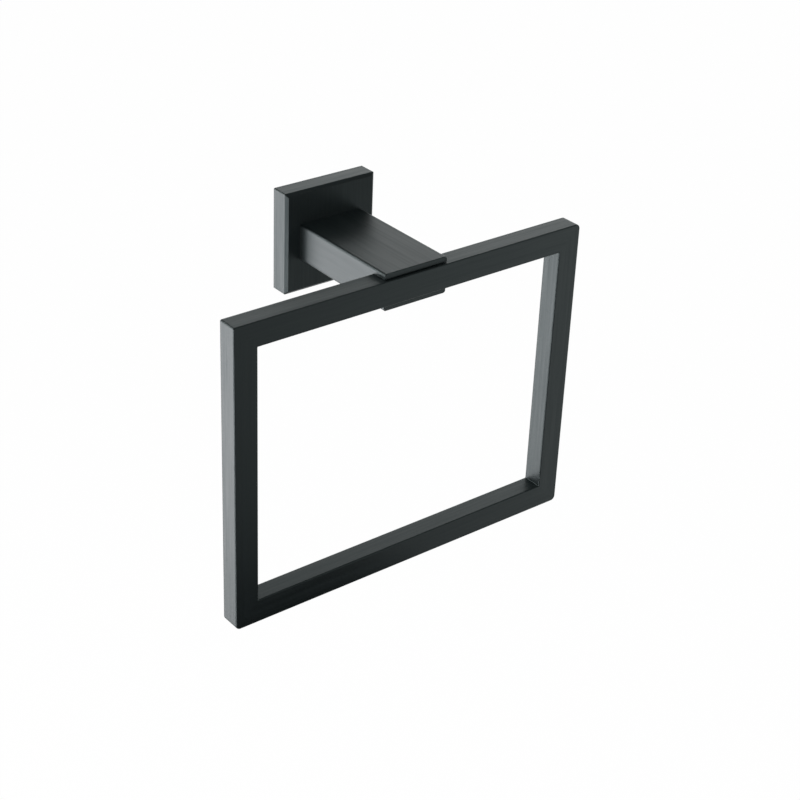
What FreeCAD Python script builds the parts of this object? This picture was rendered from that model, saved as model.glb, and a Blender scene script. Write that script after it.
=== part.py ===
import FreeCAD, Part
import math
import os

# Towel ring for a wall: a rectangular ring held in the slotted end of a flat arm, the arm on a
# square rose that hides a wall bracket. Sizes are in millimetres.
# Frame: the origin is the centre of the rose's back, on the wall. +X is to the viewer's right,
# +Y goes into the wall and +Z is up, so the whole object lies at negative Y.

Vector = FreeCAD.Vector
CENTRE = Vector(0, 0, 0)
FORWARD = Vector(0, -1, 0)
INWARD = Vector(0, 1, 0)
UP = Vector(0, 0, 1)

# Ring
ring_width = 200.0
ring_height = 158.0
bar_face = 12.5
bar_depth = 10.8
ring_edge_radius = 0.6
ring_corner_radius = 2.6
crisp_corner_radius = 0.9
window_corner_radius = 0.3

# Arm
projection = 78.0
arm_width = 36.0
arm_edge_radius = 1.3
lip_thickness = 2.85
lip_set_back = 1.7
lip_edge_radius = 0.4
slot_clearance = 0.2
arm_skin = 2.6
arm_web = 5.0
core_corner_radius = 2.0

# Rose
rose_size = 52.0
rose_wall = 2.0
rose_front_wall = 2.0
rose_chamfer = 1.4
rose_corner_radius = 0.6
rose_inner_radius = 1.5

# Wall bracket, the hook that hangs on it and the boss below it
bracket_thickness = 4.4
bracket_side_gap = 5.0
bracket_corner_radius = 3.0
bevel_drop = 2.2
hook_side_gap = 4.0
hook_front_gap = 1.0
hook_wall_gap = 0.8
seat_clearance = 0.2
boss_height = 4.4
boss_gap = 1.2
boss_wall = 3.0
boss_back_wall = 1.4
boss_wall_gap = 0.2
wall_hole_diameter = 4.8
wall_hole_margin = 7.1

# Screws
thread_clearance = 0.05
screw_chamfer = 0.6
head_chamfer = 0.4
arm_screw_diameter = 5.0
arm_screw_length = 12.0
arm_screw_head_diameter = 8.5
arm_screw_head_height = 3.5
arm_screw_key = 3.0
arm_screw_hole_clearance = 0.25
arm_screw_head_gap = 0.4
ring_screw_diameter = 5.0
ring_screw_head_diameter = 8.5
ring_screw_head_height = 5.0
ring_screw_key = 4.0
ring_screw_hole_clearance = 0.15
ring_screw_driver_room = 2.75
ring_front_skin = 3.0
tapped_hole_end_gap = 0.8
grub_diameter = 4.0
grub_length = 8.0
grub_key = 2.0
grub_tip_gap = 0.05
key_depth_ratio = 0.5

# Depths, counted from the wall
rose_depth = bracket_thickness + arm_screw_head_gap + arm_screw_head_height + rose_front_wall
ring_front = -projection
ring_back = ring_front + bar_depth
lip_front = ring_front + lip_set_back
arm_back = -rose_depth
core_front = ring_back + arm_web

# Heights and widths, counted from the middle of the rose
ring_top = bar_face / 2
ring_bottom = ring_top - ring_height
slot_half_height = bar_face / 2 + slot_clearance
arm_half_height = slot_half_height + lip_thickness
arm_half_width = arm_width / 2
core_half_width = ring_screw_head_diameter / 2 + ring_screw_driver_room
core_half_height = arm_half_height - arm_skin
arm_screw_x = (core_half_width + arm_half_width) / 2
rose_half = rose_size / 2
rose_inner_half = rose_half - rose_wall
rose_inner_front = -rose_depth + rose_front_wall

# Bracket inside the rose
bracket_top = rose_inner_half - seat_clearance
bracket_bottom = -(rose_inner_half - boss_height - boss_gap)
bracket_half_width = rose_inner_half - bracket_side_gap
hook_half_width = bracket_half_width - hook_side_gap
bevel_slope = bevel_drop / bracket_thickness
wall_hole_top = bracket_top - wall_hole_margin
wall_hole_bottom = bracket_bottom + wall_hole_margin
grub_y = -(grub_diameter / 2 + boss_back_wall)
grub_tip = bracket_bottom + bevel_slope * (bracket_thickness + grub_y) - grub_tip_gap


def block(x0, x1, y0, y1, z0, z1):
    """A plain block between two corners."""
    return Part.makeBox(x1 - x0, y1 - y0, z1 - z0, Vector(x0, y0, z0))


def runs_along_y(edge):
    """Whether an edge is straight and goes straight away from the wall."""
    first, last = edge.Vertexes[0].Point, edge.Vertexes[-1].Point
    sideways = math.hypot(last.x - first.x, last.z - first.z)
    return sideways < 1e-6 < abs(last.y - first.y)


def lies_at_y(edge, y):
    """Whether an edge lies in the plane at this distance from the wall."""
    bounds = edge.BoundBox
    return abs(bounds.YMin - y) < 1e-5 and abs(bounds.YMax - y) < 1e-5


def rounded_block(x0, x1, y0, y1, z0, z1, radius):
    """A block whose four edges along Y are rounded."""
    body = block(x0, x1, y0, y1, z0, z1)
    return body.makeFillet(radius, [e for e in body.Edges if runs_along_y(e)])


def corner_edge(body, x, z):
    """The edge along Y at this corner of a block, as a list."""
    return [e for e in body.Edges if runs_along_y(e)
            and e.Vertexes[0].Point.distanceToPoint(Vector(x, e.Vertexes[0].Y, z)) < 1e-6]


def prism_along_x(points, half_width):
    """A solid with this (y, z) outline, centred on x = 0."""
    corners = [Vector(-half_width, y, z) for y, z in points]
    face = Part.Face(Part.makePolygon(corners + corners[:1]))
    return face.extrude(Vector(2 * half_width, 0, 0))


def hexagon_prism(key, depth, start, direction):
    """The hole for a hexagon key, measured across its flats."""
    across = key / math.sqrt(3)
    turn = FreeCAD.Rotation(UP, direction)
    corners = []
    for step in range(7):
        angle = math.radians(60 * step)
        corners.append(start + turn * Vector(across * math.cos(angle), across * math.sin(angle), 0))
    return Part.Face(Part.makePolygon(corners)).extrude(direction * depth)


def shank(diameter, length, start, direction):
    """A screw's shank with a chamfered end."""
    radius = diameter / 2
    straight = Part.makeCylinder(radius, length - screw_chamfer, start, direction)
    end = start + direction * (length - screw_chamfer)
    point = Part.makeCone(radius, radius - screw_chamfer, screw_chamfer, end, direction)
    return straight.fuse(point)


def towel_ring():
    """The ring: one frame of flat bar, with a blind tapped hole in the back of its top bar.

    Its outer corners are ground round, except for the upper left one, which is crisp.
    """
    half = ring_width / 2
    outer = block(-half, half, ring_front, ring_back, ring_bottom, ring_top)
    for x, z, radius in ((-half, ring_top, crisp_corner_radius),
                         (half, ring_top, ring_corner_radius),
                         (-half, ring_bottom, ring_corner_radius),
                         (half, ring_bottom, ring_corner_radius)):
        outer = outer.makeFillet(radius, corner_edge(outer, x, z))
    window = rounded_block(-half + bar_face, half - bar_face, ring_front, ring_back,
                           ring_bottom + bar_face, ring_top - bar_face, window_corner_radius)
    frame = outer.cut(window)
    rims = [e for e in frame.Edges if lies_at_y(e, ring_front) or lies_at_y(e, ring_back)]
    frame = frame.makeFillet(ring_edge_radius, rims)
    hole = Part.makeCylinder(ring_screw_diameter / 2 + thread_clearance,
                             bar_depth - ring_front_skin, Vector(0, ring_back, 0), FORWARD)
    return frame.cut(hole)


def arm():
    """The arm: a bar with rounded long edges, slotted for the ring and cored from behind."""
    bar = rounded_block(-arm_half_width, arm_half_width, lip_front, arm_back,
                        -arm_half_height, arm_half_height, arm_edge_radius)
    slot = block(-arm_half_width, arm_half_width, lip_front, ring_back,
                 -slot_half_height, slot_half_height)
    body = bar.cut(slot)
    body = body.makeFillet(lip_edge_radius, [e for e in body.Edges if lies_at_y(e, lip_front)])
    core = rounded_block(-core_half_width, core_half_width, core_front, arm_back,
                         -core_half_height, core_half_height, core_corner_radius)
    ring_screw_hole = Part.makeCylinder(ring_screw_diameter / 2 + ring_screw_hole_clearance,
                                        arm_web, Vector(0, core_front, 0), FORWARD)
    body = body.cut(core).cut(ring_screw_hole)
    depth = arm_screw_length - rose_front_wall + tapped_hole_end_gap
    for x in (-arm_screw_x, arm_screw_x):
        body = body.cut(Part.makeCylinder(arm_screw_diameter / 2 + thread_clearance, depth,
                                          Vector(x, arm_back, 0), FORWARD))
    return body


def hook():
    """The rib inside the rose's top wall that hangs on the bracket's sloping top edge."""
    def under(y):
        return bracket_top - bevel_slope * (y + bracket_thickness) + seat_clearance

    front = -bracket_thickness + hook_front_gap
    back = -hook_wall_gap
    above = rose_inner_half + rose_wall / 2
    outline = [(front, above), (front, under(front)), (back, under(back)), (back, above)]
    return prism_along_x(outline, hook_half_width)


def rounded_square(half, radius, y):
    """The outline of a square with rounded corners, in a plane at this distance from the wall."""
    straight = half - radius
    diagonal = straight + radius / math.sqrt(2)
    edges = []
    for quarter in range(4):
        turn = FreeCAD.Rotation(INWARD, 90 * quarter)
        points = [turn * Vector(x, 0, z) + Vector(0, y, 0) for x, z in (
            (-straight, half), (straight, half), (diagonal, diagonal), (half, straight))]
        edges.append(Part.LineSegment(points[0], points[1]).toShape())
        edges.append(Part.Arc(points[1], points[2], points[3]).toShape())
    return Part.Wire(edges)


def rose_outside():
    """The rose's outer form: a square block with slightly rounded corners and a bevelled front."""
    bevel_back = -rose_depth + rose_chamfer
    sides = Part.Face(rounded_square(rose_half, rose_corner_radius, 0))
    sides = sides.extrude(Vector(0, bevel_back, 0))
    bevel = Part.makeLoft([rounded_square(rose_half, rose_corner_radius, bevel_back),
                           rounded_square(rose_half - rose_chamfer, rose_corner_radius,
                                          -rose_depth)], True, True)
    return sides.fuse(bevel).removeSplitter()


def rose():
    """The rose: a hollow square shell with a hook, a boss and screw holes."""
    shell = rose_outside()
    hollow = rounded_block(-rose_inner_half, rose_inner_half, rose_inner_front, 0,
                           -rose_inner_half, rose_inner_half, rose_inner_radius)
    half_boss = grub_diameter / 2 + boss_wall
    boss = block(-half_boss, half_boss, rose_inner_front - rose_front_wall / 2, -boss_wall_gap,
                 -rose_inner_half - rose_wall / 2, -rose_inner_half + boss_height)
    shell = shell.cut(hollow).fuse(hook()).fuse(boss).removeSplitter()
    grub_hole = Part.makeCylinder(grub_diameter / 2 + thread_clearance, rose_wall + boss_height,
                                  Vector(0, grub_y, -rose_half), UP)
    shell = shell.cut(grub_hole)
    for x in (-arm_screw_x, arm_screw_x):
        shell = shell.cut(Part.makeCylinder(arm_screw_diameter / 2 + arm_screw_hole_clearance,
                                            rose_front_wall, Vector(x, rose_inner_front, 0),
                                            FORWARD))
    return shell


def wall_bracket():
    """The bracket: a plate on the wall whose top and bottom edges slope in towards the wall."""
    outline = [(0, bracket_top - bevel_drop), (-bracket_thickness, bracket_top),
               (-bracket_thickness, bracket_bottom), (0, bracket_bottom + bevel_drop)]
    plate = prism_along_x(outline, bracket_half_width)
    corners = rounded_block(-bracket_half_width, bracket_half_width, -bracket_thickness, 0,
                            bracket_bottom, bracket_top, bracket_corner_radius)
    plate = plate.common(corners)
    for z in (wall_hole_bottom, wall_hole_top):
        plate = plate.cut(Part.makeCylinder(wall_hole_diameter / 2, bracket_thickness,
                                            Vector(0, 0, z), FORWARD))
    return plate


def cap_screw(diameter, length, head_diameter, head_height, key):
    """A cap screw with a chamfered head and a hexagon socket, pointing away from the wall."""
    head = Part.makeCylinder(head_diameter / 2, head_height, CENTRE, INWARD)
    rim = [e for e in head.Edges if lies_at_y(e, head_height)]
    head = head.makeChamfer(head_chamfer, rim)
    head = head.cut(hexagon_prism(key, head_height * key_depth_ratio,
                                  Vector(0, head_height, 0), FORWARD))
    return head.fuse(shank(diameter, length, CENTRE, FORWARD))


def arm_screws():
    """Two separate low-head screws, through the rose's front wall into the rear of the arm."""
    screws = []
    for x in (-arm_screw_x, arm_screw_x):
        screw = cap_screw(arm_screw_diameter, arm_screw_length, arm_screw_head_diameter,
                          arm_screw_head_height, arm_screw_key)
        screws.append(screw.translated(Vector(x, rose_inner_front, 0)))
    return Part.makeCompound(screws)


def ring_screw():
    """The cap screw inside the arm that pulls the ring's top bar into the slot."""
    length = arm_web + bar_depth - ring_front_skin - tapped_hole_end_gap
    screw = cap_screw(ring_screw_diameter, length, ring_screw_head_diameter,
                      ring_screw_head_height, ring_screw_key)
    return screw.translated(Vector(0, core_front, 0))


def grub_screw():
    """The cone-point set screw in the rose's underside, its point on the bracket's lower slope."""
    radius = grub_diameter / 2
    body_length = grub_length - radius
    low = Vector(0, grub_y, grub_tip - grub_length)
    body = Part.makeCylinder(radius, body_length, low, UP)
    point = Part.makeCone(radius, 0, radius, low + UP * body_length, UP)
    socket = hexagon_prism(grub_key, body_length * key_depth_ratio, low, UP)
    return body.fuse(point).cut(socket)


PIECES = {
    "towel_ring": towel_ring,
    "arm": arm,
    "rose": rose,
    "wall_bracket": wall_bracket,
    "arm_screws": arm_screws,
    "ring_screw": ring_screw,
    "grub_screw": grub_screw,
}

os.makedirs("parts", exist_ok=True)
for name, make in PIECES.items():
    shape = make()
    shape.exportStep(os.path.join("parts", name + ".step"))
    print(name, "solids", len(shape.Solids), "valid", shape.isValid(), "cm3",
          round(shape.Volume / 1000, 2))
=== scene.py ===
import math

import bmesh
import bpy
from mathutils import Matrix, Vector


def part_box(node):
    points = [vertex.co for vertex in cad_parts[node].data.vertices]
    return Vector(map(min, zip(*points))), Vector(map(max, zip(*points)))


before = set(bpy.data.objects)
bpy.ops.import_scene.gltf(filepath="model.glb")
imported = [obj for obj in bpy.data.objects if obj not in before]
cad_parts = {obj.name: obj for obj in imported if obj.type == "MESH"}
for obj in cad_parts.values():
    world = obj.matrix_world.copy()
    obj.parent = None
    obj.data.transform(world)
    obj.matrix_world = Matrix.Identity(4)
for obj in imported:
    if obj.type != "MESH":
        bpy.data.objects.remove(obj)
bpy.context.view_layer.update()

MM = 0.001
WHITE = (1, 1, 1, 1)
BLACK = (0, 0, 0, 1)
EVEN_MIX = 0.5

# The camera, worked out from the photograph's straight edges
CAMERA_PLACE = Vector((-467.4, -643.3, 352.6)) * MM
CAMERA_TURN_DEG = (60.604, -2.121, -37.920)
CAMERA_LENS_MM = 80.38

# The floor lies well below the ring, which hangs on a wall, and so its shadow hardly shows
FLOOR_BELOW_RING = 0.9
FLOOR_SIZE = 16.0
FLOOR_PAINT = "#e8e8e8"
FLOOR_WHITE = 1.0
SHADOW_HIDDEN = 0.97
BACKDROP_WHITE = 0.982

# Brush lines are some 0.05 mm wide on the real part, too fine to show, so they are drawn coarser
FINE_LINE_MM = 0.5
FINE_LINE_LENGTH_MM = 30
BROAD_LINE_MM = 1.6
BROAD_LINE_LENGTH_MM = 90
LINE_DEPTH_MM = 0.03
ARM_LINE_DEPTH_MM = 0.012
LINE_NOISE_DETAIL = 2
LINE_NOISE_ROUGHNESS = 0.6

# Nearly all of a noise lies between the first two, and most of it between the others
NOISE_LOW = 0.3
NOISE_HIGH = 0.7
NOISE_LOWER_MIDDLE = 0.35
NOISE_UPPER_MIDDLE = 0.65

# A face whose normal rises or falls by more than this looks up or down
STEEPEST_SIDE = 0.7

# The satin black coat, and the largest share of its gloss that is the metal's on each piece
COAT_IN_VALLEYS = "#030809"
COAT_ON_RIDGES = "#101719"
COAT_GLOSS_TINT = "#e9ffff"
COAT_IOR = 1.57
COAT_SMOOTHEST = 0.40
COAT_ROUGHEST = 0.52
RING_METAL_SHARE = 0.17
ARM_METAL_SHARE = 0.02
ROSE_METAL_SHARE = 0.22

# Zinc plating has a bloom of crystals this wide
BLOOM_MM = 1.8
ZINC_DULL = "#9fa4a8"
ZINC_BRIGHT = "#c3c6c6"
ZINC_SMOOTHEST = 0.26
ZINC_ROUGHEST = 0.44

# Small turned parts are blotched by handling, in patches this wide
BLOTCH_MM = 1.5
BLOTCH_NOISE_DETAIL = 3

# The room is white but for its ceiling, its ground and a dim side where the camera stands, which
# the coat mirrors. Each darkens from its start to its full, both cosines of the angle from its
# middle.
DIM_SIDE_MIDDLE = Vector((-0.25, -1.0, 0.0)).normalized()
DIM_SIDE_STARTS = 0.50
DIM_SIDE_FULL = 0.85
DIM_SIDE_BRIGHTNESS = 0.10
CEILING_MIDDLE = (0, 0, 1)
CEILING_STARTS = 0.40
CEILING_FULL = 0.60
CEILING_BRIGHTNESS = 0.10
GROUND_MIDDLE = Vector((0.155, -0.5, -0.94)).normalized()
GROUND_STARTS = 0.80
GROUND_FULL = 0.95
GROUND_BRIGHTNESS = 0.10

# The even light that matt colours get from all round
FILL_LIGHT = 0.9

# The lamps on the left make up for the faint green of the coat's gloss
OBJECT_MIDDLE = (0.0, -0.05, -0.06)
LEFT_LAMP_COLOUR = (1.06, 0.98, 1.015)
OTHER_LAMP_COLOUR = (1.0, 1.0, 1.0)

# Each lamp's place in metres, width, height, brightness and colour
SOFT_BOXES = {
    "behind_left": ((-0.88, 0.985, -0.68), 0.9, 0.9, 3.3, LEFT_LAMP_COLOUR),
    "left": ((-1.20, 0.655, -0.25), 0.8, 0.8, 4.65, LEFT_LAMP_COLOUR),
    "front_left": ((-1.0, -0.71, -0.5), 0.8, 0.8, 6.0, LEFT_LAMP_COLOUR),
    "high_left": ((-0.82, 0.90, 0.51), 0.8, 0.30, 6.0, OTHER_LAMP_COLOUR),
    "behind_right": ((0.885, 1.0, 0.35), 1.2, 0.6, 1.13, OTHER_LAMP_COLOUR),
}

# These two show in the coat's gloss alone, so that a matt colour renders about as it is written
GLOSS_LAMPS = ("left", "front_left")

# A black flag in front of and below the ring's lower left corner
FLAG_WIDTH = 0.15
FLAG_HEIGHT = 0.09
FLAG_PLACE = (-0.035, -0.137, -0.212)
FLAG_AIM = (-0.085, -0.078, -0.150)


def linear(hex_colour):
    """An sRGB hex colour as the linear colour that a shader wants."""
    channels = [int(hex_colour[i:i + 2], 16) / 255 for i in (1, 3, 5)]
    return [c / 12.92 if c <= 0.04045 else ((c + 0.055) / 1.055) ** 2.4 for c in channels] + [1]


def add(tree, kind, settings=None, **inputs):
    """Adds a node with its settings. Each input is given by name, or by number as in _2, and is
    linked where it is a socket."""
    node = tree.nodes.new(kind)
    for setting, value in (settings or {}).items():
        setattr(node, setting, value)
    for given, value in inputs.items():
        key = int(given[1:]) if given.startswith("_") else given.replace("_", " ")
        if isinstance(value, bpy.types.NodeSocket):
            tree.links.new(value, node.inputs[key])
        else:
            node.inputs[key].default_value = value
    return node


def new_material(name):
    """A material with no nodes yet, and its node tree."""
    material = bpy.data.materials.new(name)
    material.use_nodes = True
    material.node_tree.nodes.clear()
    return material, material.node_tree


def brush_lines(tree, place, axis, width_mm, length_mm):
    """Noise drawn out along one axis, as a brushing belt leaves it."""
    stretch = [1 / (width_mm * MM)] * 3
    stretch["xyz".index(axis)] = 1 / (length_mm * MM)
    drawn_out = add(tree, "ShaderNodeVectorMath", {"operation": "MULTIPLY"}, _0=place, _1=stretch)
    lines = add(tree, "ShaderNodeTexNoise", Vector=drawn_out.outputs[0], Scale=1,
                Detail=LINE_NOISE_DETAIL, Roughness=LINE_NOISE_ROUGHNESS)
    return lines.outputs["Fac"]


def on_upright_bars(tree, place):
    """1 on the ring's two upright bars and 0 on its two level ones, parted at the mitres."""
    low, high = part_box("towel_ring")
    half_width = (high[0] - low[0]) / 2
    half_height = (high[2] - low[2]) / 2
    middle = [(a + b) / 2 for a, b in zip(low, high)]
    offset = add(tree, "ShaderNodeVectorMath", {"operation": "SUBTRACT"}, _0=place, _1=middle)
    reach = add(tree, "ShaderNodeVectorMath", {"operation": "ABSOLUTE"}, _0=offset.outputs[0])
    split = add(tree, "ShaderNodeSeparateXYZ", Vector=reach.outputs[0])
    lead = add(tree, "ShaderNodeMath", {"operation": "SUBTRACT"}, _0=split.outputs["X"],
               _1=split.outputs["Z"])
    upright = add(tree, "ShaderNodeMath", {"operation": "GREATER_THAN"}, _0=lead.outputs[0],
                  _1=half_width - half_height)
    return upright.outputs[0]


def on_side_faces(tree):
    """1 on faces that look sideways or forward and 0 on those that look up or down."""
    normal = add(tree, "ShaderNodeNewGeometry").outputs["Normal"]
    split = add(tree, "ShaderNodeSeparateXYZ", Vector=normal)
    rise = add(tree, "ShaderNodeMath", {"operation": "ABSOLUTE"}, _0=split.outputs["Z"])
    side = add(tree, "ShaderNodeMath", {"operation": "LESS_THAN"}, _0=rise.outputs[0],
               _1=STEEPEST_SIDE)
    return side.outputs[0]


def lie_of_brush(tree, place, lie, width_mm, length_mm):
    """Brush lines along one axis, or upright on the upright bars or side faces and level on the
    others."""
    if lie in ("x", "y", "z"):
        return brush_lines(tree, place, lie, width_mm, length_mm)
    mask = on_upright_bars(tree, place) if lie == "bars" else on_side_faces(tree)
    level = brush_lines(tree, place, "x", width_mm, length_mm)
    upright = brush_lines(tree, place, "z", width_mm, length_mm)
    parted = add(tree, "ShaderNodeMix", {"data_type": "FLOAT"}, _0=mask, _2=level, _3=upright)
    return parted.outputs[0]


def satin_black_coat(name, lie, metal_share, line_depth_mm):
    """A thin satin black coat over brushed metal, so faint lines run along each piece's length."""
    material, tree = new_material(name)
    place = add(tree, "ShaderNodeTexCoord").outputs["Object"]
    fine = lie_of_brush(tree, place, lie, FINE_LINE_MM, FINE_LINE_LENGTH_MM)
    broad = lie_of_brush(tree, place, lie, BROAD_LINE_MM, BROAD_LINE_LENGTH_MM)
    lines = add(tree, "ShaderNodeMix", {"data_type": "FLOAT"}, _0=EVEN_MIX, _2=fine,
                _3=broad).outputs[0]
    # The coat gathers in the lines' valleys, where it looks a little deeper and glossier
    spread = add(tree, "ShaderNodeMapRange", Value=lines, From_Min=NOISE_LOW, From_Max=NOISE_HIGH)
    colour = add(tree, "ShaderNodeMix", {"data_type": "RGBA"}, _0=spread.outputs[0],
                 _6=linear(COAT_IN_VALLEYS), _7=linear(COAT_ON_RIDGES))
    rough = add(tree, "ShaderNodeMapRange", Value=lines, From_Min=NOISE_LOW, From_Max=NOISE_HIGH,
                To_Min=COAT_SMOOTHEST, To_Max=COAT_ROUGHEST)
    relief = add(tree, "ShaderNodeBump", Strength=1.0, Distance=line_depth_mm * MM, Height=lines)
    # The coat is thin on the ridges, where the brushed metal below takes over part of its gloss
    metal = add(tree, "ShaderNodeMapRange", Value=lines, From_Min=NOISE_LOWER_MIDDLE,
                From_Max=NOISE_UPPER_MIDDLE, To_Min=0.0, To_Max=metal_share)
    surface = add(tree, "ShaderNodeBsdfPrincipled", Base_Color=colour.outputs[2],
                  Metallic=metal.outputs[0], Roughness=rough.outputs[0], IOR=COAT_IOR,
                  Specular_Tint=linear(COAT_GLOSS_TINT), Normal=relief.outputs[0])
    add(tree, "ShaderNodeOutputMaterial", Surface=surface.outputs["BSDF"])
    return material


def zinc_plated_steel(name):
    """Bright zinc plating on pressed steel: a faint crystal bloom and fine rolling lines."""
    material, tree = new_material(name)
    place = add(tree, "ShaderNodeTexCoord").outputs["Object"]
    bloom = add(tree, "ShaderNodeTexVoronoi", {"feature": "SMOOTH_F1"}, Vector=place,
                Scale=1 / (BLOOM_MM * MM)).outputs["Color"]
    patches = add(tree, "ShaderNodeSeparateColor", Color=bloom).outputs[0]
    lines = brush_lines(tree, place, "z", BROAD_LINE_MM, FINE_LINE_LENGTH_MM)
    mixed = add(tree, "ShaderNodeMix", {"data_type": "FLOAT"}, _0=EVEN_MIX, _2=patches,
                _3=lines).outputs[0]
    # The bloom turns the blue-grey zinc lighter and duller from patch to patch
    colour = add(tree, "ShaderNodeMix", {"data_type": "RGBA"}, _0=mixed, _6=linear(ZINC_DULL),
                 _7=linear(ZINC_BRIGHT))
    rough = add(tree, "ShaderNodeMapRange", Value=mixed, To_Min=ZINC_SMOOTHEST,
                To_Max=ZINC_ROUGHEST)
    relief = add(tree, "ShaderNodeBump", Strength=1.0, Distance=LINE_DEPTH_MM * MM, Height=lines)
    surface = add(tree, "ShaderNodeBsdfPrincipled", Base_Color=colour.outputs[2], Metallic=1.0,
                  Roughness=rough.outputs[0], Normal=relief.outputs[0])
    add(tree, "ShaderNodeOutputMaterial", Surface=surface.outputs["BSDF"])
    return material


def turned_metal(name, dark, light, smoothest, roughest):
    """A small turned part, a little blotchy in colour and shine from handling."""
    material, tree = new_material(name)
    place = add(tree, "ShaderNodeTexCoord").outputs["Object"]
    blotches = add(tree, "ShaderNodeTexNoise", Vector=place, Scale=1 / (BLOTCH_MM * MM),
                   Detail=BLOTCH_NOISE_DETAIL).outputs["Fac"]
    colour = add(tree, "ShaderNodeMix", {"data_type": "RGBA"}, _0=blotches, _6=linear(dark),
                 _7=linear(light))
    rough = add(tree, "ShaderNodeMapRange", Value=blotches, From_Min=NOISE_LOW,
                From_Max=NOISE_HIGH, To_Min=smoothest, To_Max=roughest)
    surface = add(tree, "ShaderNodeBsdfPrincipled", Base_Color=colour.outputs[2], Metallic=1.0,
                  Roughness=rough.outputs[0])
    add(tree, "ShaderNodeOutputMaterial", Surface=surface.outputs["BSDF"])
    return material


def stainless_steel(name):
    """Plain stainless steel of cap screws: light grey and fairly bright."""
    return turned_metal(name, dark="#a3a19d", light="#c4c2bd", smoothest=0.22, roughest=0.38)


def black_oxide_steel(name):
    """Blackened steel of a set screw: near black, with a dull oily shine."""
    return turned_metal(name, dark="#17181a", light="#2a2b2d", smoothest=0.35, roughest=0.50)


def darker_towards(tree, direction, middle, starts, full, brightness):
    """1 away from the middle direction, falling to the given brightness near it."""
    nearness = add(tree, "ShaderNodeVectorMath", {"operation": "DOT_PRODUCT"}, _0=direction,
                   _1=middle).outputs["Value"]
    return add(tree, "ShaderNodeMapRange", {"interpolation_type": "SMOOTHSTEP"}, Value=nearness,
               From_Min=starts, From_Max=full, To_Min=1.0, To_Max=brightness).outputs[0]


def room_brightness(tree, direction):
    """How bright the white room is in a direction seen from the object."""
    unit = add(tree, "ShaderNodeVectorMath", {"operation": "NORMALIZE"}, _0=direction).outputs[0]
    level = add(tree, "ShaderNodeVectorMath", {"operation": "MULTIPLY"}, _0=unit, _1=(1, 1, 0))
    compass = add(tree, "ShaderNodeVectorMath", {"operation": "NORMALIZE"}, _0=level.outputs[0])
    side = darker_towards(tree, compass.outputs[0], DIM_SIDE_MIDDLE, DIM_SIDE_STARTS,
                          DIM_SIDE_FULL, DIM_SIDE_BRIGHTNESS)
    ceiling = darker_towards(tree, unit, CEILING_MIDDLE, CEILING_STARTS, CEILING_FULL,
                             CEILING_BRIGHTNESS)
    ground = darker_towards(tree, unit, GROUND_MIDDLE, GROUND_STARTS, GROUND_FULL,
                            GROUND_BRIGHTNESS)
    upper = add(tree, "ShaderNodeMath", {"operation": "MULTIPLY"}, _0=side, _1=ceiling)
    return add(tree, "ShaderNodeMath", {"operation": "MULTIPLY"}, _0=upper.outputs[0],
               _1=ground).outputs[0]


def by_ray(tree, lighting, mirrored, seen):
    """The seen shader for the camera, the mirrored one for rays that come off gloss or through
    glass, and the lighting one for all others."""
    ray = add(tree, "ShaderNodeLightPath")
    glossy = add(tree, "ShaderNodeMath", {"operation": "MAXIMUM"},
                 _0=ray.outputs["Is Glossy Ray"], _1=ray.outputs["Is Transmission Ray"])
    unseen = add(tree, "ShaderNodeMixShader", Fac=glossy.outputs[0], _1=lighting.outputs[0],
                 _2=mirrored.outputs[0])
    return add(tree, "ShaderNodeMixShader", Fac=ray.outputs["Is Camera Ray"],
               _1=unseen.outputs[0], _2=seen.outputs[0]).outputs[0]


def pale_floor(name):
    """A pale floor that looks white with a faint shadow, and that gloss sees as the room."""
    material, tree = new_material(name)
    place = add(tree, "ShaderNodeTexCoord").outputs["Object"]
    paint = add(tree, "ShaderNodeBsdfDiffuse", Color=linear(FLOOR_PAINT))
    glow = add(tree, "ShaderNodeEmission", Color=WHITE, Strength=FLOOR_WHITE)
    faint = add(tree, "ShaderNodeMixShader", Fac=SHADOW_HIDDEN, _1=paint.outputs[0],
                _2=glow.outputs[0])
    room = add(tree, "ShaderNodeEmission", Color=WHITE, Strength=room_brightness(tree, place))
    add(tree, "ShaderNodeOutputMaterial", Surface=by_ray(tree, paint, room, faint))
    return material


def black_cloth(name):
    """Black cloth that gives back no light."""
    material, tree = new_material(name)
    cloth = add(tree, "ShaderNodeBsdfDiffuse", Color=BLACK)
    add(tree, "ShaderNodeOutputMaterial", Surface=cloth.outputs[0])
    return material


def white_room(name):
    """A world that lights evenly, mirrors as the room, and is a white backdrop to the camera."""
    world = bpy.data.worlds.new(name)
    world.use_nodes = True
    tree = world.node_tree
    tree.nodes.clear()
    direction = add(tree, "ShaderNodeTexCoord").outputs["Generated"]
    fill = add(tree, "ShaderNodeBackground", Color=WHITE, Strength=FILL_LIGHT)
    room = add(tree, "ShaderNodeBackground", Color=WHITE,
               Strength=room_brightness(tree, direction))
    backdrop = add(tree, "ShaderNodeBackground", Color=WHITE, Strength=BACKDROP_WHITE)
    add(tree, "ShaderNodeOutputWorld", Surface=by_ray(tree, fill, room, backdrop))
    return world


def flat_sheet(name, width, depth, height, material):
    """A level rectangle at a height, in one material."""
    mesh = bpy.data.meshes.new(name)
    shape = bmesh.new()
    bmesh.ops.create_grid(shape, x_segments=1, y_segments=1, size=1)
    bmesh.ops.scale(shape, verts=shape.verts, vec=(width / 2, depth / 2, 1))
    bmesh.ops.translate(shape, verts=shape.verts, vec=(0, 0, height))
    shape.to_mesh(mesh)
    shape.free()
    mesh.materials.append(material)
    sheet = bpy.data.objects.new(name, mesh)
    bpy.context.scene.collection.objects.link(sheet)
    return sheet


def aimed(place, aim, axis):
    """The turn that points an object's axis from its place at its aim."""
    return (Vector(aim) - Vector(place)).to_track_quat(axis, "Y").to_euler()


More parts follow.
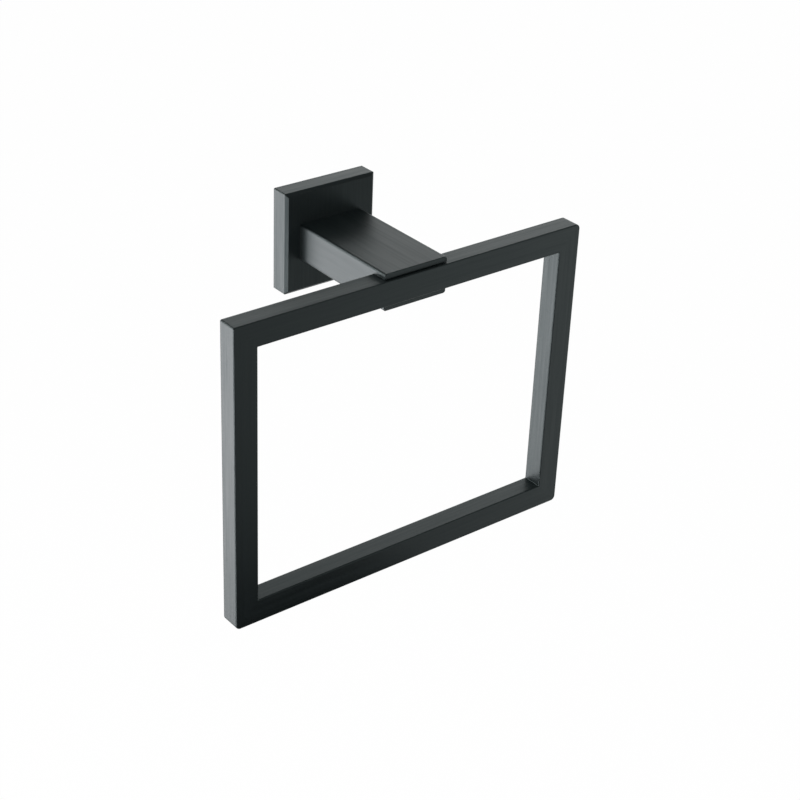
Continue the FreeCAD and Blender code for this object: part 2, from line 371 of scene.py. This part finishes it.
def soft_box(name, place, width, height, brightness, colour):
    """A rectangular soft light of a given brightness, hidden from the camera."""
    lamp = bpy.data.lights.new(name, "AREA")
    lamp.shape = "RECTANGLE"
    lamp.size = width
    lamp.size_y = height
    lamp.energy = math.pi * width * height * brightness
    lamp.color = colour
    light = bpy.data.objects.new(name, lamp)
    light.location = place
    light.rotation_euler = aimed(place, OBJECT_MIDDLE, "-Z")
    light.visible_camera = False
    light.visible_diffuse = name not in GLOSS_LAMPS
    bpy.context.scene.collection.objects.link(light)


# Materials on the CAD pieces
FINISHES = {
    "towel_ring": satin_black_coat("satin_black_coat_ring", "bars", RING_METAL_SHARE,
                                   LINE_DEPTH_MM),
    "arm": satin_black_coat("satin_black_coat_arm", "y", ARM_METAL_SHARE, ARM_LINE_DEPTH_MM),
    "rose": satin_black_coat("satin_black_coat_rose", "faces", ROSE_METAL_SHARE, LINE_DEPTH_MM),
    "wall_bracket": zinc_plated_steel("zinc_plated_steel"),
    "arm_screws": stainless_steel("stainless_steel_arm_screws"),
    "ring_screw": stainless_steel("stainless_steel_ring_screw"),
    "grub_screw": black_oxide_steel("black_oxide_steel"),
}
for node_name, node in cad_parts.items():
    for slot in node.material_slots:
        slot.material = FINISHES[node_name]

# Camera and view
camera_data = bpy.data.cameras.new("camera")
camera_data.lens = CAMERA_LENS_MM
camera = bpy.data.objects.new("camera", camera_data)
camera.location = CAMERA_PLACE
camera.rotation_euler = [math.radians(a) for a in CAMERA_TURN_DEG]
bpy.context.scene.collection.objects.link(camera)
bpy.context.scene.camera = camera
bpy.context.scene.view_settings.view_transform = "Standard"

# Floor and world
floor_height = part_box("towel_ring")[0][2] - FLOOR_BELOW_RING
floor = flat_sheet("floor", FLOOR_SIZE, FLOOR_SIZE, floor_height, pale_floor("pale_floor"))
bpy.context.scene.world = white_room("studio")

# Lights
for lamp_name, (place, width, height, brightness, colour) in SOFT_BOXES.items():
    soft_box(lamp_name, place, width, height, brightness, colour)

# The flag shows only in the coat's gloss
flag = flat_sheet("black_flag", FLAG_WIDTH, FLAG_HEIGHT, 0, black_cloth("black_cloth"))
flag.location = FLAG_PLACE
flag.rotation_euler = aimed(FLAG_PLACE, FLAG_AIM, "Z")
flag.visible_camera = False
flag.visible_diffuse = False
flag.visible_shadow = False
